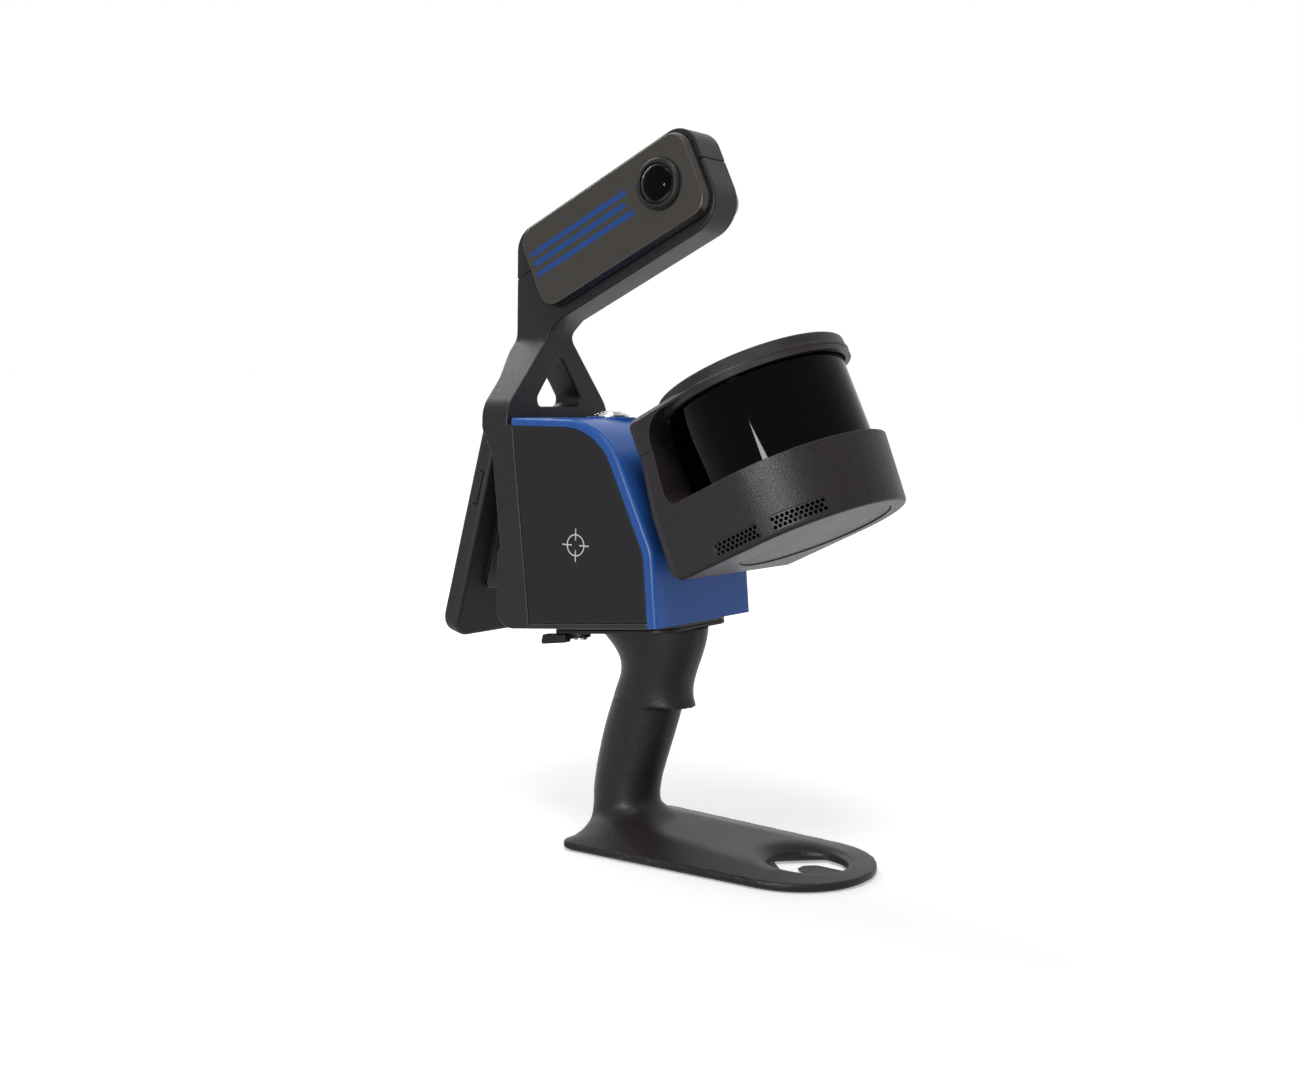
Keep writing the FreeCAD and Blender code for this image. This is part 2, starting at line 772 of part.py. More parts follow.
def make_camera():
    inner_half = camera_half_thick - face_shell
    save(camera_block(0, inner_half - 0.05), "camera_body")
    face = face_moulding()
    seat = rod(lens_ring_radius - 1.0, 30, lens_place() - across * 5, across)
    near = face.cut(seat)
    far = mirror_y(near)
    screen_points = [(-44.0, -16.0, 3.0), (10.0, -16.0, 3.0), (10.0, 16.0, 3.0), (-44.0, 16.0, 3.0)]
    screen = slab_y(screen_points, camera_half_thick - 1.4, camera_half_thick + 0.2)
    far = far.cut(slab_y(screen_points, camera_half_thick - 1.4, camera_half_thick + 5))
    for name, along, up_by, radius in camera_buttons():
        well = rod(radius + 0.2, 10, V(along, camera_half_thick - 3.2, up_by), across)
        far = far.cut(well)
        button = rod(radius, 2.6, V(along, camera_half_thick - 2.0, up_by), across)
        button = button.makeFillet(0.3, [button.Edges[0]])
        save(placed(button, camera_frame), name)
    save(placed(near, camera_frame), "camera_near_face")
    save(placed(far, camera_frame), "camera_far_face")
    save(placed(screen, camera_frame), "camera_screen")
    make_lenses()


def camera_buttons():
    return [("shutter_button", 20.0, -12.0, 3.6), ("mode_button", 20.0, 12.0, 2.6)]


def make_lenses():
    place = lens_place()
    out = across * -1
    barrel = ring(lens_ring_radius - 1.05, lens_radius, face_shell - 0.1, place, across)
    collar = ring(lens_ring_radius, lens_radius, lens_ring_high, place, out)
    holder = barrel.fuse(collar).removeSplitter()
    outer_rim = [edge for edge in holder.Edges
                 if abs(edge.BoundBox.YMin - place.y + lens_ring_high) < 0.01
                 and edge.BoundBox.ZLength > 2 * lens_ring_radius - 0.1]
    holder = holder.makeChamfer(1.4, outer_rim)
    save(placed(Part.makeCompound(both_sides(holder)), camera_frame), "lens_rings")
    base = lens_ring_high - 1.2
    rise = dome_high - base
    edge_radius = lens_radius - 0.1
    ball_radius = (edge_radius ** 2 + rise ** 2) / (2 * rise)
    ball = Part.makeSphere(ball_radius, place + out * (dome_high - ball_radius))
    stem = rod(edge_radius, 30, place + out * base, out)
    dome = ball.common(stem)
    barrel = rod(edge_radius, base + face_shell - 0.2, place + out * base, across)
    glass = dome.fuse(barrel).removeSplitter()
    save(placed(Part.makeCompound(both_sides(glass)), camera_frame), "lens_domes")


# ---- power button ---------------------------------------------------------------------

def make_power_button():
    deck = body_top_z + boss_high
    centre = V(button_x, 0, deck)
    bezel = ring(bezel_radius, button_radius + 0.3, 1.3, centre, up)
    step = ring(bezel_radius - 1.6, button_radius + 0.3, 2.0, centre, up)
    save(bezel.fuse(step).removeSplitter(), "button_bezel")
    cap = rod(button_radius, 5.0, V(button_x, 0, deck - 2.2), up)
    cap = cap.makeFillet(0.8, [edge for edge in cap.Edges
                               if edge.BoundBox.ZMin > deck + 2 and edge.BoundBox.ZLength < 0.01])
    stem = rod(2.0, 4, V(button_x, 0, deck - 6.0), up)
    save(cap.fuse(stem).removeSplitter(), "power_button")
    switch_top = deck - 6.0 - button_travel - 0.1
    switch = box(button_x - 6, button_x + 6, -6, 6, switch_top - 4, switch_top)
    save(switch, "button_switch")


# ---- lidar head -----------------------------------------------------------------------

def head_wire(radius, half, corner, z):
    back = -spine_back - max(parting - z, 0) * rear_flare
    rear_right = V(back, -half, z)
    rear_left = V(back, half, z)
    side_right = V(0, -radius, z)
    side_left = V(0, radius, z)
    front = V(radius, 0, z)
    right = corner_arc(rear_left, rear_right, side_right, corner)
    left = corner_arc(side_left, rear_left, rear_right, corner)
    return Part.Wire([Part.LineSegment(right[2], side_right).toShape(),
                      Part.Arc(side_right, front, side_left).toShape(),
                      Part.LineSegment(side_left, left[0]).toShape(),
                      Part.Arc(*left).toShape(),
                      Part.LineSegment(left[2], right[0]).toShape(),
                      Part.Arc(*right).toShape()])


def side_shape(low, high, low_round, high_round):
    # rounds the rear corners of a head part as seen from the side
    flat = -spine_back + rear_skim
    low_back = flat - max(parting - low, 0) * rear_flare
    if high > parting:
        points = [(80.0, low, 0), (80.0, high, 0), (flat, high, high_round), (flat, parting, 0),
                  (low_back, low, low_round)]
    else:
        high_back = flat - (parting - high) * rear_flare
        points = [(80.0, low, 0), (80.0, high, 0), (high_back, high, 0), (low_back, low, low_round)]
    return slab_y(points, -80, 80)


def recess():
    # the window stands clear in front of the spine, with rounded corners above and below
    edge = -spine_back + spine_depth
    points = [(80.0, window_low - 1.8, 0), (80.0, recess_top, 0), (edge, recess_top, 14.0),
              (edge, window_low - 1.8, 10.0)]
    return slab_y(points, -80, 80)


def cup_block():
    cup = Part.makeLoft([head_wire(cup_low_radius, cup_low_radius + 1.0, 11.0, cup_low),
                         head_wire(cup_rim_radius, cup_low_radius + 1.0, 9.0, window_low)],
                        True, True)
    low_rim = [edge for edge in cup.Edges if edge.BoundBox.ZMax < cup_low + 0.01]
    cup = cup.makeFillet(2.2, low_rim)
    return cup.common(side_shape(cup_low - 1.0, window_low + 5.0, 15.0, 0))


def spine_block():
    wires = [head_wire(cup_rim_radius, cup_low_radius + 1.0, 9.0, window_low),
             head_wire(ring_radius, spine_half, 6.5, parting),
             head_wire(ring_radius, spine_half, 6.5, spine_top - 2.0),
             head_wire(ring_radius - 2.0, spine_half - 2.0, 6.5, spine_top)]
    spine = Part.makeLoft(wires, True, True)
    return spine.common(side_shape(window_low - 2.0, spine_top, 0, 9.0)).cut(recess())


def make_shroud():
    room = rod(window_radius + 1.2, 100, V(0, 0, cup_low + cup_wall), up)
    spine = spine_block()
    below = box(-80, 80, -80, 80, -80, parting)
    pad = rod(hub_radius, hub_seat + 3.0, V(-spine_back - hub_seat, 0, spin_height), forward)
    rear = spine.fuse(pad)
    lower = cup_block().fuse(rear.common(below)).removeSplitter().cut(room)
    lower = lower.cut(rod(38.6, 20, V(2, 0, cup_low - 5), up))
    lower = lower.cut(vent_cutters(0.1, 8.0))
    shaft_hole = rod(shaft_radius + shaft_slack, 30, V(-spine_back - 10, 0, spin_height), forward)
    lower = lower.cut(shaft_hole)
    save(placed(lower, head_frame), "shroud_lower")

    above = box(-80, 80, -80, 80, parting + wall_gap, 80)
    crown = Part.makeCone(ring_radius, ring_radius - 1.0, ring_thick + 0.5,
                          V(0, 0, window_high - 0.5))
    crown_rim = [edge for edge in crown.Edges if edge.BoundBox.ZMin > window_high + ring_thick - 0.1]
    crown = crown.makeFillet(1.2, crown_rim)
    upper = rear.common(above).fuse(crown).removeSplitter()
    save(placed(upper.cut(room), head_frame), "shroud_upper")


def vent_cutters(extra, depth):
    # two rounded slots on each side of the cup
    slots = []
    for first, last in ((-79.0, -46.0), (-116.0, -86.5)):
        slot = vent_slot(first, last, extra)
        slots += both_sides(slot)
    return Part.makeCompound(slots)


def vent_slot(first, last, extra):
    middle = radians((first + last) / 2)
    half_wide = cup_low_radius * radians(last - first) / 2 + extra
    points = oblong(half_wide, 3.5 + extra, 2.2)
    slot = slab_x(points, cup_low_radius - 4.5, cup_low_radius + 8)
    slot.translate(V(0, 0, -55.8))
    slot.rotate(V(0, 0, 0), up, middle * 180 / pi)
    return slot


def make_vents():
    # perforated inserts, flush with the cup's face
    inserts = []
    skin = cup_block().cut(rod(window_radius + 1.4, 80, V(0, 0, cup_low - 1.0), up))
    for first, last in ((-79.0, -46.0), (-116.0, -86.5)):
        insert = skin.common(vent_slot(first, last, 0.0))
        pitch = 2.45
        rows = (-2.0, 0.0, 2.0)
        for row, rise in enumerate(rows):
            count = int((cup_low_radius * radians(last - first) - 2.6) / pitch) + 1
            for step in range(count - row % 2):
                along = (step - (count - 1 - row % 2) / 2) * pitch
                angle = (first + last) / 2 + along / cup_low_radius * 180 / pi
                hole = rod(0.98, 12, V(cup_low_radius - 6, 0, -55.8 + rise), forward)
                hole.rotate(V(0, 0, 0), up, angle)
                insert = insert.cut(hole)
        inserts += both_sides(insert)
    save(placed(Part.makeCompound(inserts), head_frame), "vent_grilles")


def make_head():
    make_shroud()
    make_vents()
    cap = rod(38.3, cup_wall - 0.6, V(2, 0, cup_low + 0.6), up)
    save(placed(cap, head_frame), "base_cap")
    base = rod(window_radius - 0.5, 20, V(0, 0, window_low - 21), up)
    base = base.cut(rod(12.3, 12, V(0, 0, window_low - 12.0), up))
    save(placed(base, head_frame), "lidar_base")
    window = ring(window_radius, window_radius - window_wall, window_high - window_low + 1,
                  V(0, 0, window_low - 1), up)
    save(placed(window, head_frame), "lidar_window")
    lid = rod(window_radius, 6.0, V(0, 0, window_high), up)
    lid = lid.makeFillet(1.5, [edge for edge in lid.Edges if edge.BoundBox.ZMin > window_high + 5])
    save(placed(lid, head_frame), "lidar_lid")
    motor = rod(12.0, 11, V(0, 0, window_low - 11.9), up)
    motor = motor.cut(rod(4 + running, 30, V(0, 0, window_low - 20), up))
    save(placed(motor, head_frame), "rotor_motor")
    drum = rod(30.0, 30, V(0, 0, window_low + 4), up)
    face = box(17, 40, -40, 40, window_low + 6, window_low + 40)
    drum = drum.cut(face).fuse(rod(4.0, 14, V(0, 0, window_low - 9.5), up)).removeSplitter()
    drum = drum.cut(holes([V(17.0, side * 9.5, window_low + 20) for side in (-1, 1)],
                          7.0, 6.0, 0, forward * -1))
    save(placed(drum, head_frame), "scan_drum")
    optics = [rod(6.8, 5.5, V(11.3, side * 9.5, window_low + 20), forward) for side in (-1, 1)]
    save(placed(Part.makeCompound(optics), head_frame), "scan_lenses")
    make_fan()
    make_hub()


def make_fan():
    low = cup_low + cup_wall + 0.4
    frame = ring(20.0, 17.5, 8.0, V(0, 0, low), up)
    frame = frame.fuse(rod(5.0, 1.2, V(0, 0, low), up))
    for turn in (0, 120, 240):
        strut = box(4, 18.5, -1, 1, low, low + 1.2)
        strut.rotate(V(0, 0, 0), up, turn)
        frame = frame.fuse(strut)
    frame = frame.fuse(rod(1.5, 5.0, V(0, 0, low), up)).removeSplitter()
    save(placed(frame, head_frame), "fan_frame")
    fan = rod(6.5, 5.4, V(0, 0, low + 1.8), up)
    for turn in range(0, 360, 45):
        blade = box(5, 16.6, -0.5, 0.5, -2.6, 2.6)
        blade.rotate(V(0, 0, 0), forward, 35)
        blade.translate(V(0, 0, low + 4.5))
        blade.rotate(V(0, 0, 0), up, turn)
        fan = fan.fuse(blade)
    fan = fan.removeSplitter().cut(rod(1.5 + running, 3.4, V(0, 0, low + 1.7), up))
    save(placed(fan, head_frame), "fan_rotor")


def make_hub():
    axis_at = V(0, 0, spin_height)
    back = slope_back + shell_wall + wall_gap
    seat = spine_back + hub_seat
    flange = rod(hub_radius, hub_thick, axis_at - forward * (seat + hub_thick), forward)
    neck_long = slope_back - seat - collar_thick - 0.3
    neck = rod(neck_radius, neck_long, axis_at - forward * (seat + neck_long), forward)
    shaft_long = back + bulkhead_thick + motor_long + 4 - seat
    shaft = rod(shaft_radius, shaft_long + hub_seat + 3, axis_at - forward * (seat + shaft_long),
                forward)
    hub = flange.fuse([neck, shaft]).removeSplitter()
    hub = hub.cut(rod(cable_bore, 60, axis_at - forward * 100, forward))
    places = [axis_at + V(-seat - hub_thick, 21 * cos(radians(a)), 21 * sin(radians(a)))
              for a in (45, 135, 225, 315)]
    save(placed(hub.cut(holes(places, 1.3, 5, 1, forward)), head_frame), "head_hub")
    bolts = screws(places, 2.0, 0.7, 1.25, 2.1, forward)
    save(placed(Part.makeCompound(bolts), head_frame), "hub_screws")

    start = axis_at - forward * slope_back
    collar = ring(collar_radius, shaft_radius + shaft_slack, collar_thick, start, forward)
    save(placed(collar, head_frame), "hub_collar")
    bearing_at = axis_at - forward * (back + bulkhead_thick)
    bearing = ring(bearing_radius, shaft_radius + running, bulkhead_thick, bearing_at, forward)
    rear = ring(bearing_radius, shaft_radius + running, bulkhead_thick,
                bearing_at - forward * (motor_long - bulkhead_thick), forward)
    save(placed(Part.makeCompound([bearing, rear]), head_frame), "head_bearings")
    housing = ring(motor_radius, bearing_radius, motor_long, bearing_at - forward * motor_long,
                   forward)
    save(placed(housing, head_frame), "motor_housing")
    winding_long = motor_long - 2 * bulkhead_thick - 1
    winding_at = bearing_at - forward * (winding_long + 0.5)
    winding = ring(bearing_radius, shaft_radius + 2.4, winding_long, winding_at, forward)
    save(placed(winding, head_frame), "motor_winding")
    magnets = ring(shaft_radius + 2.0, shaft_radius, winding_long, winding_at, forward)
    save(placed(magnets, head_frame), "motor_magnets")


# ---- phone ----------------------------------------------------------------------------

def make_phone():
    out = case_half_thick
    outer = slab_x(oblong(case_half_wide, case_half_long, case_round), -out, out)
    long_rims = [edge for edge in outer.Edges if abs(edge.BoundBox.XLength) < 0.01]
    outer = outer.makeFillet(2.6, long_rims)
    inner_half_y = case_half_wide - case_wall
    inner_half_z = case_half_long - case_wall
    inner_round = case_round - case_wall
    room = slab_x(oblong(inner_half_y, inner_half_z, inner_round), -out + 1.2, out - case_back)
    mouth = slab_x(oblong(inner_half_y - 1.2, inner_half_z - 1.2, inner_round - 1.0), -out - 5, 0)
    case = outer.cut(room).cut(mouth)
    camera_window = slab_x(oblong(8.0, 8.0, 4.0), 0, 20)
    camera_window.translate(V(0, 18, 46))
    case = case.cut(camera_window)
    for name, side, centre, half in phone_buttons():
        slot = slab_x(oblong(5.0, half + 0.3, 1.4), -1.5, 2.1)
        slot.translate(V(0, side * case_half_wide, centre))
        case = case.cut(slot)
        key = slab_x(oblong(1.3, half, 1.1), -1.2, 1.8)
        key.translate(V(0, side * (case_half_wide - 1.3 + 0.5), centre))
        save(placed(key, phone_frame), name)
    save(placed(case, phone_frame), "phone_case")

    slack = 0.15
    body = slab_x(oblong(inner_half_y - slack, inner_half_z - slack, inner_round - slack),
                  -out + 1.3 + glass_thick, out - case_back - 0.1)
    for name, side, centre, half in phone_buttons():
        seat = slab_x(oblong(3.4, half + 1.0, 1.0), -1.7, 2.3)
        seat.translate(V(0, side * inner_half_y, centre))
        body = body.cut(seat)
    save(placed(body, phone_frame), "phone_body")
    glass = slab_x(oblong(inner_half_y - slack, inner_half_z - slack, inner_round - slack),
                   -out + 1.3, -out + 1.3 + glass_thick)
    save(placed(glass, phone_frame), "phone_glass")


def phone_buttons():
    # name, side, height of its middle along the phone, half length
    return [("phone_power_button", -1, 22.0, 9.0), ("phone_volume_button", 1, 24.0, 12.0)]


def make_phone_holder():
    inner = case_half_thick + 0.1
    plate = slab_x(oblong(holder_half, 34.0, 5.0), inner, inner + holder_thick)
    axis = phone_frame.inverse().multVec(V(hinge_x, 0, hinge_z))
    arm = slab_x([(-knuckle_long, 20.0, 0), (knuckle_long, 20.0, 0),
                  (knuckle_long, axis.z, 0), (-knuckle_long, axis.z, 0)],
                 inner, inner + holder_thick)
    eye = rod(knuckle_radius, 2 * knuckle_long, V(axis.x, -knuckle_long, axis.z), across)
    holder = placed(plate.fuse([arm, eye]).removeSplitter(), phone_frame)
    bore = rod(hinge_pin_radius + running, 60, V(hinge_x, -30, hinge_z), across)
    holder = holder.cut(bore)
    save(holder, "phone_holder")

    ears = []
    for side in (-1, 1):
        start = knuckle_long + 0.4
        ear = rod(knuckle_radius, 6, V(hinge_x, start, hinge_z), across)
        foot = box(hinge_x, hinge_floor(), start, start + 6, hinge_z - 2.6, hinge_z + 2.6)
        ear = ear.fuse(foot).removeSplitter().cut(bore)
        ears.append(ear if side > 0 else mirror_y(ear))
    save(Part.makeCompound(ears), "hinge_ears")
    pin = rod(hinge_pin_radius, 2 * knuckle_long + 12.8, V(hinge_x, -knuckle_long - 6.4, hinge_z),
              across)
    save(pin, "hinge_pin")


make_foot_and_grip()
make_quick_release()
make_shell()
make_panels()
make_chassis()
make_body_inside()
make_yoke()
make_cradle()
make_camera()
make_power_button()
make_head()
make_phone()
make_phone_holder()
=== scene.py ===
import json
from math import cos, radians, sin
import bpy
from mathutils import Matrix, Vector


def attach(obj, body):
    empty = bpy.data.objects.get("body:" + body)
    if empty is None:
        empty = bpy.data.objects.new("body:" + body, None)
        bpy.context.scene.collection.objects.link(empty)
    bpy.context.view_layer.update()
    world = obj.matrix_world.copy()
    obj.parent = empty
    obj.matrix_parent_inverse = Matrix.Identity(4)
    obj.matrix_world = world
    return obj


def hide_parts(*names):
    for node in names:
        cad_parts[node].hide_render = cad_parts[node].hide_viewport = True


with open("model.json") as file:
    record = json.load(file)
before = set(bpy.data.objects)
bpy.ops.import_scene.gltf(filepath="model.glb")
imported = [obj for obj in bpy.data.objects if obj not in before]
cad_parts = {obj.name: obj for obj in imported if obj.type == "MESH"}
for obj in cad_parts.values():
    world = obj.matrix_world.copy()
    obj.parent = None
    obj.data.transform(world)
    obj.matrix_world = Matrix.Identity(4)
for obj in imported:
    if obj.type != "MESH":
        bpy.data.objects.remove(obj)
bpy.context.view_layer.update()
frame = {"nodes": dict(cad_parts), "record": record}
mm = 0.001
record = frame["record"]
slotOf = {part["node"]: part["material_slot"] for part in record["subparts"]}
bodyOf = {node: body for body, members in record["behaviour"]["bodies"].items() for node in members}


def leaning(x, z, degrees):
    # a frame on the middle plane whose own Z leans back by the angle
    return Matrix.Translation((x * mm, 0, z * mm)) @ Matrix.Rotation(radians(-degrees), 4, "Y")


cameraFrame = leaning(-115.6, 317.6, 25.55)


# modelling helpers

def selectOnly(piece):
    if bpy.context.object and bpy.context.object.mode != "OBJECT":
        bpy.ops.object.mode_set(mode="OBJECT")
    bpy.ops.object.select_all(action="DESELECT")
    piece.select_set(True)
    bpy.context.view_layer.objects.active = piece


def editMode(piece, everything=True):
    selectOnly(piece)
    bpy.ops.object.mode_set(mode="EDIT")
    bpy.ops.mesh.select_all(action="SELECT" if everything else "DESELECT")


def objectMode():
    bpy.ops.object.mode_set(mode="OBJECT")


def applyModifier(piece, kind, **settings):
    selectOnly(piece)
    modifier = piece.modifiers.new(kind.lower(), kind)
    for key, value in settings.items():
        setattr(modifier, key, value)
    bpy.ops.object.modifier_apply(modifier=modifier.name)


def settle(piece, place=None):
    # moves a piece from its own frame into the object's, with its place in its mesh
    if place:
        piece.matrix_world = place @ piece.matrix_world
    selectOnly(piece)
    bpy.ops.object.transform_apply(location=True, rotation=True, scale=True)


def smooth(piece, angle):
    selectOnly(piece)
    bpy.ops.object.shade_smooth_by_angle(angle=radians(angle))


meshCare = {"merge": 0.000004, "flat": 0.4}


def copyOf(node, name):
    # a node's own mesh, merged, with its flat faces made whole again
    piece = bpy.data.objects.new(name, frame["nodes"][node].data.copy())
    bpy.context.collection.objects.link(piece)
    piece.data.materials.clear()
    editMode(piece)
    bpy.ops.mesh.customdata_custom_splitnormals_clear()
    bpy.ops.mesh.remove_doubles(threshold=meshCare["merge"])
    bpy.ops.mesh.dissolve_limited(angle_limit=radians(meshCare["flat"]))
    objectMode()
    return piece


softening = {"segments": 3, "from": 32, "smoothTo": 36}


def soften(piece, width):
    applyModifier(piece, "BEVEL", width=width * mm, segments=softening["segments"], limit_method="ANGLE",
                  angle_limit=radians(softening["from"]), use_clamp_overlap=False, miter_outer="MITER_ARC")
    smooth(piece, softening["smoothTo"])
    applyModifier(piece, "WEIGHTED_NORMAL", keep_sharp=True)


def finished(piece, body, slot, material, *nodes):
    piece.data.materials.clear()
    piece.data.materials.append(material)
    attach(piece, body)
    if nodes:
        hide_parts(*nodes)
    return piece


# shading helpers

def addNode(tree, kind, **values):
    node = tree.nodes.new(kind)
    for socket, value in values.items():
        node.inputs[socket].default_value = value
    return node


def calc(tree, operation, first, second=0.0, third=None):
    node = tree.nodes.new("ShaderNodeMath")
    node.operation = operation
    for socket, value in zip(node.inputs, (first, second, third)):
        if isinstance(value, (int, float)):
            socket.default_value = value
        elif value is not None:
            tree.links.new(value, socket)
    return node.outputs[0]


def clamped(tree, value):
    return calc(tree, "MINIMUM", calc(tree, "MAXIMUM", value, 0.0), 1.0)


def newGroup(name, inputs, outputs):
    group = bpy.data.node_groups.new(name, "ShaderNodeTree")
    for label, value in inputs.items():
        kind = "NodeSocketVector" if value is None else "NodeSocketFloat"
        socket = group.interface.new_socket(label, in_out="INPUT", socket_type=kind)
        if value is not None:
            socket.default_value = value
    for label in outputs:
        group.interface.new_socket(label, in_out="OUTPUT", socket_type="NodeSocketFloat")
    return group, group.nodes.new("NodeGroupInput"), group.nodes.new("NodeGroupOutput")


mouldTexture = {"cells": 1900.0, "swell": 1300.0, "speckle": 2300.0, "swellHeight": 1.1, "cellDepth": -0.55,
                "tipFrom": 0.63, "tipGain": 9.0}


def makeMouldGrainAndGlints():
    # spark-eroded mould texture: rounded grains of about half a millimetre in the bump, and a mask of
    # painted glints, bright spots where the grain would catch the light
    group, given, result = newGroup("mouldGrain", {"Vector": None, "Grain": 1.0}, ["Height", "Fleck"])
    scaled = group.nodes.new("ShaderNodeVectorMath")
    scaled.operation = "SCALE"
    group.links.new(given.outputs["Vector"], scaled.inputs[0])
    group.links.new(given.outputs["Grain"], scaled.inputs["Scale"])
    cells = addNode(group, "ShaderNodeTexVoronoi", Scale=mouldTexture["cells"])
    swell = addNode(group, "ShaderNodeTexNoise", Scale=mouldTexture["swell"], Detail=3.0, Roughness=0.6)
    speckle = addNode(group, "ShaderNodeTexNoise", Scale=mouldTexture["speckle"], Detail=1.0, Roughness=0.5)
    for texture in (cells, swell, speckle):
        group.links.new(scaled.outputs[0], texture.inputs["Vector"])
    low = calc(group, "MULTIPLY", cells.outputs["Distance"], mouldTexture["cellDepth"])
    high = calc(group, "MULTIPLY", swell.outputs["Fac"], mouldTexture["swellHeight"])
    group.links.new(calc(group, "ADD", high, low), result.inputs["Height"])
    # painted glints: the highest spots of a fine noise, which the finish paints in its light colour
    tips = calc(group, "SUBTRACT", speckle.outputs["Fac"], mouldTexture["tipFrom"])
    tips = calc(group, "MULTIPLY", tips, mouldTexture["tipGain"])
    group.links.new(clamped(group, tips), result.inputs["Fleck"])
    return group


# width and strength of the painted edge highlight
edgeHighlight = {"radius": 0.0007, "samples": 4, "from": 0.03, "gain": 8.0}


def makeEdgeLight():
    # a mask of rounded edges, for a painted highlight where an edge would catch the light
    group, given, result = newGroup("edgeLight", {"Gain": 1.6}, ["Edge"])
    rounded = addNode(group, "ShaderNodeBevel", Radius=edgeHighlight["radius"])
    rounded.samples = edgeHighlight["samples"]
    surface = group.nodes.new("ShaderNodeNewGeometry")
    dot = group.nodes.new("ShaderNodeVectorMath")
    dot.operation = "DOT_PRODUCT"
    group.links.new(rounded.outputs[0], dot.inputs[0])
    group.links.new(surface.outputs["Normal"], dot.inputs[1])
    bend = calc(group, "SUBTRACT", 1.0, dot.outputs["Value"])
    scaled = calc(group, "MULTIPLY", calc(group, "SUBTRACT", bend, edgeHighlight["from"]), edgeHighlight["gain"])
    strong = calc(group, "MULTIPLY", calc(group, "MAXIMUM", scaled, 0.0), given.outputs["Gain"])
    group.links.new(calc(group, "MINIMUM", strong, 1.0), result.inputs["Edge"])
    return group


marksOfUse = {"smearScale": 38.0, "dustScale": 900.0, "dustFrom": 0.70, "dustGain": 12.0}


def makeHandling():
    # faint smears from handling, and settled dust
    group, given, result = newGroup("handling", {"Vector": None}, ["Smear", "Dust"])
    broad = addNode(group, "ShaderNodeTexNoise", Scale=marksOfUse["smearScale"], Detail=5.0, Roughness=0.62)
    fine = addNode(group, "ShaderNodeTexNoise", Scale=marksOfUse["dustScale"], Detail=2.0, Roughness=0.5)
    for texture in (broad, fine):
        group.links.new(given.outputs["Vector"], texture.inputs["Vector"])
    group.links.new(calc(group, "SUBTRACT", broad.outputs["Fac"], 0.5), result.inputs["Smear"])
    dots = calc(group, "SUBTRACT", fine.outputs["Fac"], marksOfUse["dustFrom"])
    dots = calc(group, "MULTIPLY", dots, marksOfUse["dustGain"])
    group.links.new(clamped(group, dots), result.inputs["Dust"])
    return group


mouldGrain = makeMouldGrainAndGlints()
edgeLight = makeEdgeLight()
handling = makeHandling()


def newMaterial(name):
    material = bpy.data.materials.new(name)
    material.use_nodes = True
    return material, material.node_tree, material.node_tree.nodes["Principled BSDF"]


def groupNode(tree, group, **settings):
    node = tree.nodes.new("ShaderNodeGroup")
    node.node_tree = group
    for key, value in settings.items():
        node.inputs[key].default_value = value
    return node


def mixColour(tree, mask, first, second):
    # in a colour mix, input 0 is the mask, 6 and 7 are the colours, and output 2 is the result
    node = tree.nodes.new("ShaderNodeMix")
    node.data_type = "RGBA"
    for socket, value in ((node.inputs[0], mask), (node.inputs[6], first), (node.inputs[7], second)):
        if isinstance(value, bpy.types.NodeSocket):
            tree.links.new(value, socket)
        else:
            socket.default_value = value if isinstance(value, float) else (*value, 1.0)
    return node.outputs[2]


wear = {"smearMix": 0.35, "smearDark": 0.55, "smearRough": 0.3, "dustColour": (0.5, 0.48, 0.46),
        "grainDepth": 0.0002, "coatRoughness": 0.12}


def newFinish(name, settings):
    # the finish that all but the polished looks share: grain with painted glints, painted highlights along
    # the edges, smears and dust
    material, tree, shader = newMaterial(name)
    place = tree.nodes.new("ShaderNodeTexCoord").outputs["Object"]
    marks = groupNode(tree, handling)
    tree.links.new(place, marks.inputs["Vector"])
    edges = groupNode(tree, edgeLight, Gain=settings["edge"])
    grain = groupNode(tree, mouldGrain, Grain=settings["grain"])
    tree.links.new(place, grain.inputs["Vector"])
    base, light = settings["colour"], settings["light"]
    # painted glints: specks of the light colour on the grain, standing in for sparkle
    glints = calc(tree, "MULTIPLY", grain.outputs["Fleck"], settings["fleck"])
    colour = mixColour(tree, glints, base, light)
    smeared = calc(tree, "MULTIPLY_ADD", marks.outputs["Smear"], settings["smear"], 0.5)
    smeared = calc(tree, "MULTIPLY", smeared, wear["smearMix"])
    colour = mixColour(tree, smeared, colour, [channel * wear["smearDark"] for channel in base])
    dusty = calc(tree, "MULTIPLY", marks.outputs["Dust"], settings["dust"])
    colour = mixColour(tree, dusty, colour, wear["dustColour"])
    # painted highlight: the light colour laid along rounded edges
    paintedEdgeLight = calc(tree, "MULTIPLY", edges.outputs["Edge"], settings["edgeMix"])
    colour = mixColour(tree, paintedEdgeLight, colour, light)
    tree.links.new(colour, shader.inputs["Base Color"])
    rough = calc(tree, "MULTIPLY_ADD", marks.outputs["Smear"], settings["smear"] * wear["smearRough"],
                 settings["roughness"])
    tree.links.new(rough, shader.inputs["Roughness"])
    bump = addNode(tree, "ShaderNodeBump", Strength=settings["bump"], Distance=wear["grainDepth"])
    tree.links.new(grain.outputs["Height"], bump.inputs["Height"])
    tree.links.new(bump.outputs["Normal"], shader.inputs["Normal"])
    shader.inputs["Metallic"].default_value = settings["metallic"]
    shader.inputs["Specular IOR Level"].default_value = settings["specular"]
    shader.inputs["Coat Weight"].default_value = settings["coat"]
    shader.inputs["Coat Roughness"].default_value = wear["coatRoughness"]
    return material, colour, shader


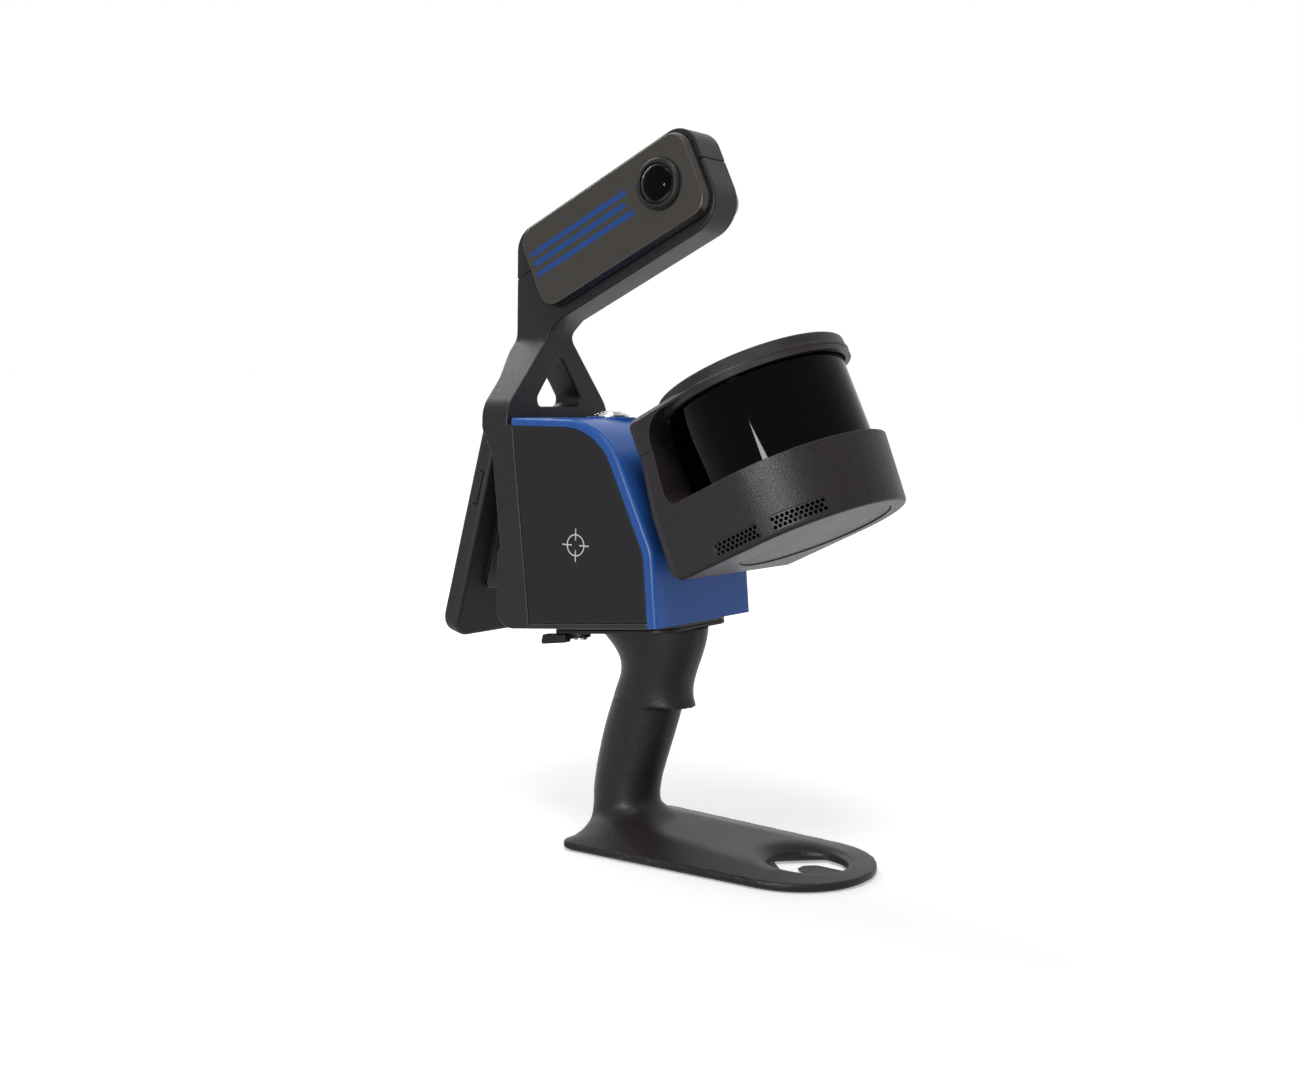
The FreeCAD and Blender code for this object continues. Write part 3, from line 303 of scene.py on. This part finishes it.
plain = {"grain": 1.0, "fleck": 0.0, "smear": 0.5, "dust": 0.05, "edge": 1.0, "edgeMix": 0.3, "bump": 0.12,
         "metallic": 0.0, "specular": 0.5, "coat": 0.0, "roughness": 0.45}
# each finish's light colour is the one painted onto the grain as glints and along the edges as highlights
finishes = {
    "textured_plastic": {**plain, "colour": (0.0225, 0.0180, 0.0220), "light": (0.24, 0.20, 0.23),
                         "fleck": 0.24, "edgeMix": 0.25, "bump": 0.60, "roughness": 0.37, "dust": 0.04,
                         "specular": 0.16},
    "panel_plastic": {**plain, "colour": (0.0185, 0.0175, 0.0205), "light": (0.26, 0.26, 0.27),
                      "fleck": 0.03, "grain": 1.6, "bump": 0.18, "roughness": 0.46, "edgeMix": 0.5,
                      "dust": 0.02, "specular": 0.12},
    "blue_plastic": {**plain, "colour": (0.026, 0.115, 0.430), "light": (0.16, 0.33, 0.72), "bump": 0.06,
                     "specular": 0.18, "roughness": 0.34, "edgeMix": 0.18, "grain": 1.4},
    "black_rubber": {**plain, "colour": (0.018, 0.018, 0.019), "light": (0.09, 0.09, 0.09), "bump": 0.3,
                     "roughness": 0.75},
    "case_rubber": {**plain, "colour": (0.0185, 0.0160, 0.0175), "light": (0.14, 0.13, 0.13), "bump": 0.16,
                    "specular": 0.2, "roughness": 0.55, "grain": 1.5, "fleck": 0.05},
    "dark_aluminium": {**plain, "colour": (0.030, 0.030, 0.032), "light": (0.45, 0.45, 0.46), "bump": 0.10,
                       "roughness": 0.38, "metallic": 0.9},
    "bare_aluminium": {**plain, "colour": (0.62, 0.62, 0.64), "light": (0.85, 0.85, 0.86), "bump": 0.10,
                       "roughness": 0.33, "metallic": 1.0},
    "steel": {**plain, "colour": (0.42, 0.42, 0.43), "light": (0.80, 0.80, 0.80), "bump": 0.06,
              "roughness": 0.28, "metallic": 1.0},
    "bright_metal": {**plain, "colour": (0.58, 0.57, 0.55), "light": (0.95, 0.94, 0.92), "bump": 0.03,
                     "roughness": 0.20, "metallic": 1.0, "dust": 0.02},
    "black_plastic": {**plain, "colour": (0.0065, 0.0065, 0.0070), "light": (0.16, 0.16, 0.16), "bump": 0.22,
                      "specular": 0.2, "roughness": 0.42, "fleck": 0.10},
    "camera_paint": {**plain, "colour": (0.050, 0.045, 0.038), "light": (0.40, 0.37, 0.37), "bump": 0.03,
                     "roughness": 0.27, "metallic": 0.5, "specular": 0.4, "grain": 1.9, "edgeMix": 0.5,
                     "fleck": 0.02, "smear": 0.2},
    "screen_glass": {**plain, "colour": (0.006, 0.006, 0.008), "light": (0.05, 0.05, 0.05), "bump": 0.0,
                     "roughness": 0.07, "specular": 0.5, "coat": 0.5, "edgeMix": 0.1},
    "copper": {**plain, "colour": (0.50, 0.22, 0.10), "light": (0.8, 0.5, 0.3), "bump": 0.3,
               "roughness": 0.35, "metallic": 1.0},
    "board": {**plain, "colour": (0.02, 0.10, 0.045), "light": (0.35, 0.40, 0.30), "bump": 0.2,
              "roughness": 0.35},
}
looks = {slot: newFinish(slot, settings)[0] for slot, settings in finishes.items()}
print("finishes made")


paintEdge = {"spread": 0.00004, "sharpness": 12000.0}


def lineMask(tree, value, centre, half):
    # 1 where the value is within half of the centre, with a soft edge
    away = calc(tree, "ABSOLUTE", calc(tree, "SUBTRACT", value, centre))
    inside = calc(tree, "SUBTRACT", half + paintEdge["spread"], away)
    return clamped(tree, calc(tree, "MULTIPLY", inside, paintEdge["sharpness"]))


def mappedAxes(tree, place):
    # X, Y and Z in a frame leaning on the middle plane
    coordinates = tree.nodes.new("ShaderNodeTexCoord")
    mapping = tree.nodes.new("ShaderNodeMapping")
    mapping.vector_type = "TEXTURE"
    mapping.inputs["Location"].default_value = place.to_translation()
    mapping.inputs["Rotation"].default_value = place.to_euler()
    tree.links.new(coordinates.outputs["Object"], mapping.inputs["Vector"])
    split = tree.nodes.new("ShaderNodeSeparateXYZ")
    tree.links.new(mapping.outputs[0], split.inputs[0])
    return split.outputs


target = {"x": -113.6, "z": 155.3, "ring": 5.3, "line": 0.33, "armIn": 2.4, "armOut": 8.4,
          "paint": (0.72, 0.70, 0.68)}


def makePanelLook():
    # the side panel's printed aiming mark: a ring with four arms
    material, colour, shader = newFinish("panelWithMark", finishes["panel_plastic"])
    tree = material.node_tree
    across, _, upward = mappedAxes(tree, leaning(target["x"], target["z"], 0))
    acrossSquare = calc(tree, "MULTIPLY", across, across)
    upwardSquare = calc(tree, "MULTIPLY", upward, upward)
    away = calc(tree, "SQRT", calc(tree, "ADD", acrossSquare, upwardSquare))
    half = target["line"] * mm
    ring = lineMask(tree, away, target["ring"] * mm, half)
    reach = lineMask(tree, away, (target["armIn"] + target["armOut"]) / 2 * mm,
                     (target["armOut"] - target["armIn"]) / 2 * mm)
    arms = calc(tree, "MULTIPLY", reach, calc(tree, "MAXIMUM", lineMask(tree, across, 0.0, half),
                                              lineMask(tree, upward, 0.0, half)))
    printed = calc(tree, "MAXIMUM", ring, arms)
    tree.links.new(mixColour(tree, printed, colour, target["paint"]), shader.inputs["Base Color"])
    return material


stripes = {"colour": (0.008, 0.055, 0.230), "half": 1.5, "start": -53.0,
           "lines": [(8.3, 15.3), (2.8, 12.3), (-3.0, 15.3)]}


def makeCameraLook():
    # three painted stripes along the camera's face
    material, colour, shader = newFinish("cameraWithStripes", finishes["camera_paint"])
    tree = material.node_tree
    along, _, upward = mappedAxes(tree, cameraFrame)
    total = None
    for centre, end in stripes["lines"]:
        band = lineMask(tree, upward, centre * mm, stripes["half"] * mm)
        length = lineMask(tree, along, (stripes["start"] + end) / 2 * mm, (end - stripes["start"]) / 2 * mm)
        stripe = calc(tree, "MULTIPLY", band, length)
        total = stripe if total is None else calc(tree, "MAXIMUM", total, stripe)
    tree.links.new(mixColour(tree, total, colour, stripes["colour"]), shader.inputs["Base Color"])
    return material


polished = {"windowBlack": {"colour": (0.0004, 0.0004, 0.0006), "roughness": 0.030, "specular": 0.055},
            "lensCoated": {"colour": (0.001, 0.004, 0.002), "roughness": 0.02, "specular": 0.5}}
wipeMarks = {"rough": 0.05, "dust": 0.03, "dustColour": (0.2, 0.2, 0.2)}


def glossLook(name):
    # polished plastic or coated glass, with only the faintest wipe marks
    settings = polished[name]
    material, tree, shader = newMaterial(name)
    marks = groupNode(tree, handling)
    tree.links.new(tree.nodes.new("ShaderNodeTexCoord").outputs["Object"], marks.inputs["Vector"])
    rough = calc(tree, "MULTIPLY_ADD", marks.outputs["Smear"], wipeMarks["rough"], settings["roughness"])
    tree.links.new(rough, shader.inputs["Roughness"])
    dusty = calc(tree, "MULTIPLY", marks.outputs["Dust"], wipeMarks["dust"])
    colour = mixColour(tree, dusty, settings["colour"], wipeMarks["dustColour"])
    tree.links.new(colour, shader.inputs["Base Color"])
    shader.inputs["Specular IOR Level"].default_value = settings["specular"]
    return material


looks["panelWithMark"] = makePanelLook()
looks["cameraWithStripes"] = makeCameraLook()
looks["dark_glass"] = glossLook("windowBlack")


domeGlass = {"tint": (0.93, 0.96, 0.95, 1.0), "roughness": 0.02, "reflects": 1.12}


def makeClearGlass():
    # thin clear dome: see-through, with reflections that grow towards its edge
    material, tree, shader = newMaterial("clearDome")
    tree.nodes.remove(shader)
    clear = tree.nodes.new("ShaderNodeBsdfTransparent")
    clear.inputs["Color"].default_value = domeGlass["tint"]
    shiny = tree.nodes.new("ShaderNodeBsdfGlossy")
    shiny.inputs["Roughness"].default_value = domeGlass["roughness"]
    amount = tree.nodes.new("ShaderNodeFresnel")
    amount.inputs["IOR"].default_value = domeGlass["reflects"]
    mix = tree.nodes.new("ShaderNodeMixShader")
    tree.links.new(amount.outputs[0], mix.inputs[0])
    tree.links.new(clear.outputs[0], mix.inputs[1])
    tree.links.new(shiny.outputs[0], mix.inputs[2])
    tree.links.new(mix.outputs[0], tree.nodes["Material Output"].inputs["Surface"])
    return material


looks["lens_glass"] = makeClearGlass()
looks["lensCoated"] = glossLook("lensCoated")


# CAD nodes keep their shape: copies get true rounded edges, the rest a better finish
softEdges = {"yoke": 0.9, "side_panel_right": 0.4, "side_panel_left": 0.4, "cradle_strap": 0.6,
             "chassis": 0.4, "clamp_plate": 0.5, "mount_plate": 0.5, "release_lever": 0.5,
             "button_bezel": 0.3, "base_cap": 0.3, "shroud_lower": 0.4, "camera_near_face": 0.3,
             "camera_far_face": 0.3, "phone_case": 0.3, "phone_volume_button": 0.25,
             "phone_power_button": 0.25, "head_hub": 0.3, "lens_rings": 0.3, "hub_collar": 0.3,
             "lidar_window": 0.2, "lidar_lid": 0.3, "blue_shell": 0.3}
specialLooks = {"side_panel_right": "panelWithMark", "camera_near_face": "cameraWithStripes"}


def camel(node):
    first, *rest = node.split("_")
    return first + "".join(word.capitalize() for word in rest)


def softenNodes():
    for node, width in softEdges.items():
        piece = copyOf(node, camel(node))
        soften(piece, width)
        look = looks[specialLooks.get(node, slotOf[node])]
        finished(piece, bodyOf[node], slotOf[node], look, node)
    for node, part in frame["nodes"].items():
        part.data.materials.clear()
        part.data.materials.append(looks[slotOf[node]])
    print("edges softened on", len(softEdges), "pieces")


softenNodes()


# blend boxes are X, Y and Z ranges in millimetres: the ramp, then each side of the dish
gripMould = {"voxel": 0.8, "passes": 6, "blendPasses": 90, "strength": 0.5, "smoothTo": 60,
             "blend": [((-140.0, -3.0), (-60.0, 60.0), (5.9, 36.0)),
                       ((-20.0, 31.0), (31.0, 60.0), (5.9, 8.0)),
                       ((-20.0, 31.0), (-60.0, -31.0), (5.9, 8.0))]}


def blendGroup(piece):
    # the points of the moulding that lie in one of the boxes
    group = piece.vertex_groups.new(name="blend")
    inside = []
    for vertex in piece.data.vertices:
        x, y, z = (value / mm for value in vertex.co)
        for (x0, x1), (y0, y1), (z0, z1) in gripMould["blend"]:
            if x0 < x < x1 and y0 < y < y1 and z0 < z < z1:
                inside.append(vertex.index)
                break
    group.add(inside, 1.0, "REPLACE")


def makeGrip():
    piece = copyOf("grip_moulding", "gripAndFoot")
    strength = gripMould["strength"]
    applyModifier(piece, "REMESH", mode="VOXEL", voxel_size=gripMould["voxel"] * mm)
    applyModifier(piece, "SMOOTH", factor=strength, iterations=gripMould["passes"])
    blendGroup(piece)
    applyModifier(piece, "SMOOTH", factor=strength, iterations=gripMould["blendPasses"],
                  vertex_group="blend")
    smooth(piece, gripMould["smoothTo"])
    finished(piece, "base", "textured_plastic", looks["textured_plastic"], "grip_moulding")
    print("grip and foot", len(piece.data.polygons), "faces")


makeGrip()


def turned(name, profile, points):
    # a round piece about its own Z, drawn out ring by ring from (radius, height) pairs
    (radius, height), *others = profile
    bpy.ops.mesh.primitive_circle_add(vertices=points, radius=radius * mm, location=(0, 0, height * mm))
    piece = bpy.context.object
    piece.name = name
    settle(piece)
    editMode(piece)
    for nextRadius, nextHeight in others:
        step = (0, 0, (nextHeight - height) * mm)
        bpy.ops.mesh.extrude_edges_move(TRANSFORM_OT_translate={"value": step})
        factor = nextRadius / radius
        bpy.ops.transform.resize(value=(factor, factor, 1), center_override=(0, 0, 0))
        radius, height = nextRadius, nextHeight
    objectMode()
    return piece


def closeEnds(piece):
    editMode(piece, False)
    bpy.ops.mesh.select_mode(type="EDGE")
    bpy.ops.mesh.select_non_manifold()
    bpy.ops.mesh.fill_holes(sides=0)
    bpy.ops.mesh.select_all(action="SELECT")
    bpy.ops.mesh.normals_make_consistent(inside=False)
    objectMode()


lensParts = {"along": 34.9, "up": 2.0, "face": 16.2, "points": 96, "elementPoints": 64, "barrelCrease": 25,
             "smoothTo": 60,
             "barrel": [(10.15, 1.2), (10.15, -3.4), (2.0, -3.4), (2.0, -3.0), (5.2, -2.6), (5.2, -1.0),
                        (6.0, -0.7), (6.1, -0.1), (7.4, 0.1), (7.5, 0.7), (8.7, 0.9), (8.8, 1.35),
                        (10.15, 1.55), (10.15, 1.2)],
             "element": [(5.1, -2.9), (5.1, -1.4), (4.8, -0.8), (4.0, -0.1), (3.0, 0.35), (1.8, 0.6),
                         (0.6, 0.7)],
             "dome": [(10.0, 1.6), (10.0, 1.9), (9.4, 2.6), (8.3, 3.5), (6.9, 4.3), (5.2, 4.95),
                      (3.4, 5.35), (1.7, 5.55), (0.3, 5.6)]}


def lensFrame(side):
    # Z points out of the camera's near (-1) or far (1) face
    middle = (lensParts["along"] * mm, side * lensParts["face"] * mm, lensParts["up"] * mm)
    return cameraFrame @ Matrix.Translation(middle) @ Matrix.Rotation(radians(-90 * side), 4, "X")


def makeLenses():
    for side, word in ((-1, "Near"), (1, "Far")):
        place = lensFrame(side)
        barrel = turned("lensBarrel" + word, lensParts["barrel"], lensParts["points"])
        element = turned("lensElement" + word, lensParts["element"], lensParts["elementPoints"])
        dome = turned("lensDome" + word, lensParts["dome"], lensParts["points"])
        for piece in (barrel, element, dome):
            closeEnds(piece)
            settle(piece, place)
        smooth(barrel, lensParts["barrelCrease"])
        smooth(element, lensParts["smoothTo"])
        smooth(dome, lensParts["smoothTo"])
        finished(barrel, "base", "black_plastic", looks["black_plastic"])
        finished(element, "base", "lens_glass", looks["lensCoated"])
        finished(dome, "base", "lens_glass", looks["lens_glass"], "lens_domes")
    print("lenses built")


makeLenses()


# studio

# lift is the floor's own light where it is seen; from "near" metres out it rises, by no more than "more"
stageLook = {"floor": (0.80, 0.80, 0.80), "size": 40.0, "roughness": 0.9, "specular": 0.1, "lift": 0.40,
             "near": 0.25, "rise": 0.5, "more": 0.35, "world": 0.34}


def seenRays(tree):
    # 1 for what the camera, a reflection or a clear piece sees, 0 for what lights the object
    rays = tree.nodes.new("ShaderNodeLightPath")
    glossyOrClear = calc(tree, "MAXIMUM", rays.outputs["Is Glossy Ray"], rays.outputs["Is Transmission Ray"])
    return calc(tree, "MAXIMUM", rays.outputs["Is Camera Ray"], glossyOrClear)


def makeFloor():
    bpy.ops.mesh.primitive_plane_add(size=stageLook["size"], location=(0, 0, 0))
    floor = bpy.context.object
    floor.name = "floor"
    material, tree, shader = newMaterial("paleFloor")
    shader.inputs["Base Color"].default_value = (*stageLook["floor"], 1.0)
    shader.inputs["Roughness"].default_value = stageLook["roughness"]
    shader.inputs["Specular IOR Level"].default_value = stageLook["specular"]
    shader.inputs["Emission Color"].default_value = (1, 1, 1, 1)
    place = tree.nodes.new("ShaderNodeTexCoord")
    away = tree.nodes.new("ShaderNodeVectorMath")
    away.operation = "LENGTH"
    tree.links.new(place.outputs["Object"], away.inputs[0])
    beyond = calc(tree, "SUBTRACT", away.outputs["Value"], stageLook["near"])
    reach = calc(tree, "MULTIPLY", beyond, stageLook["rise"])
    gain = calc(tree, "MINIMUM", calc(tree, "MAXIMUM", reach, 0.0), stageLook["more"])
    lift = calc(tree, "ADD", gain, stageLook["lift"])
    tree.links.new(calc(tree, "MULTIPLY", seenRays(tree), lift), shader.inputs["Emission Strength"])
    floor.data.materials.append(material)


def makeWorld():
    world = bpy.data.worlds.new("studio")
    bpy.context.scene.world = world
    world.use_nodes = True
    tree = world.node_tree
    background = tree.nodes["Background"]
    background.inputs["Color"].default_value = (1, 1, 1, 1)
    strength = calc(tree, "MULTIPLY_ADD", seenRays(tree), 1.0 - stageLook["world"], stageLook["world"])
    tree.links.new(strength, background.inputs["Strength"])


# a gloss-only lamp is hidden from diffuse rays, so it brightens gloss and leaves base colours alone
lamps = {
    "key": {"at": (0.30, -0.62, 1.45), "size": (0.6, 0.6), "power": 11.0, "glossOnly": False},
    "rear": {"at": (-0.95, 0.25, 0.95), "size": (0.6, 0.8), "power": 7.0, "glossOnly": False},
    "rearCard": {"at": (-0.98, 0.20, 0.85), "size": (0.5, 0.5), "power": 3.0, "glossOnly": True},
    "strip": {"at": (0.110, -1.02, 0.31), "size": (0.17, 0.34), "power": 15.0, "glossOnly": True},
}
aimAt = Vector((-0.06, 0.0, 0.20))


def makeLamps():
    for name, lamp in lamps.items():
        light = bpy.data.lights.new(name, "AREA")
        light.shape = "RECTANGLE"
        light.size, light.size_y = lamp["size"]
        light.energy = lamp["power"]
        holder = bpy.data.objects.new(name, light)
        bpy.context.collection.objects.link(holder)
        holder.location = lamp["at"]
        holder.rotation_euler = (aimAt - Vector(lamp["at"])).to_track_quat("-Z", "Y").to_euler()
        holder.visible_diffuse = not lamp["glossOnly"]


viewPoint = {"at": (0.3836, -0.6684, 0.2320), "azimuth": 35.72, "elevation": 5.25, "roll": 1.0,
             "lens": 44.3, "sensor": 36}


def makeCamera():
    turn, lift, roll = (radians(viewPoint[key]) for key in ("azimuth", "elevation", "roll"))
    back = Vector((sin(turn) * cos(lift), -cos(turn) * cos(lift), sin(lift)))
    right = Vector((cos(turn), sin(turn), 0))
    above = back.cross(right)
    right, above = right * cos(roll) + above * sin(roll), above * cos(roll) - right * sin(roll)
    lens = bpy.data.cameras.new("view")
    lens.lens = viewPoint["lens"]
    lens.sensor_width = viewPoint["sensor"]
    holder = bpy.data.objects.new("view", lens)
    bpy.context.collection.objects.link(holder)
    turning = Matrix((right, above, back)).transposed().to_4x4()
    holder.matrix_world = Matrix.Translation(viewPoint["at"]) @ turning
    bpy.context.scene.camera = holder


makeFloor()
makeWorld()
makeLamps()
makeCamera()
bpy.context.scene.view_settings.view_transform = "Standard"
print("studio ready")
